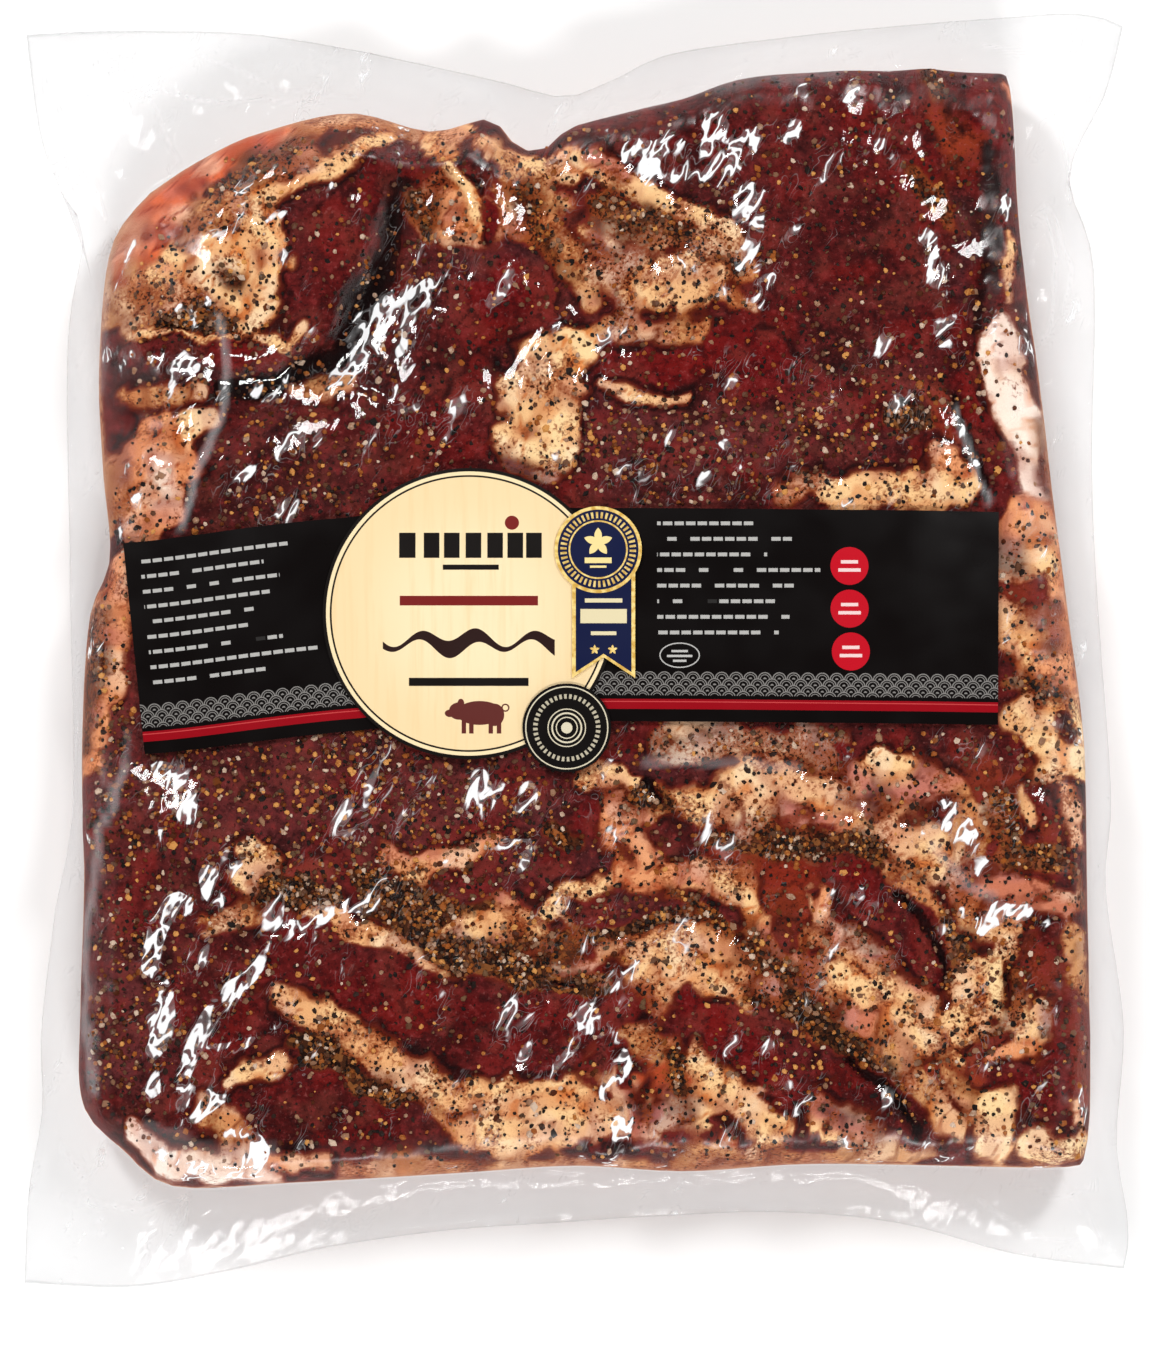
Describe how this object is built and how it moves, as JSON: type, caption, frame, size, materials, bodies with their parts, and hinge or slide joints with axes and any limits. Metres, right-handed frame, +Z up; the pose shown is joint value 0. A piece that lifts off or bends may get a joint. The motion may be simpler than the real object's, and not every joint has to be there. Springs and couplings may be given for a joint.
{
  "type": "vacuum-packed pancetta",
  "caption": "Flat slab of peppered, dry-cured pork belly sealed in a clear vacuum pouch, with a band label, a round label and stickers across its top.",
  "frame": {"origin": "on the surface that the pack lies on, under the middle of the pouch's outline", "axes": "+Z up out of the labelled side, +Y along the pouch towards the top of the labels, +X to the right across them"},
  "size_m": [0.3012, 0.3484, 0.0385],
  "materials": {
    "cured_meat": "gloss",
    "clear_film": "gloss",
    "black_pepper": "matte",
    "golden_grain": "satin",
    "pale_grain": "gloss",
    "black_label": "satin",
    "cream_label": "satin",
    "navy_sticker": "satin",
    "black_sticker": "satin"
  },
  "bodies": {
    "root": {"pouch": "cured_meat", "band_label": "black_label", "disc_label": "cream_label", "award_sticker": "navy_sticker", "seal_sticker": "black_sticker"}
  },
  "joints": []
}
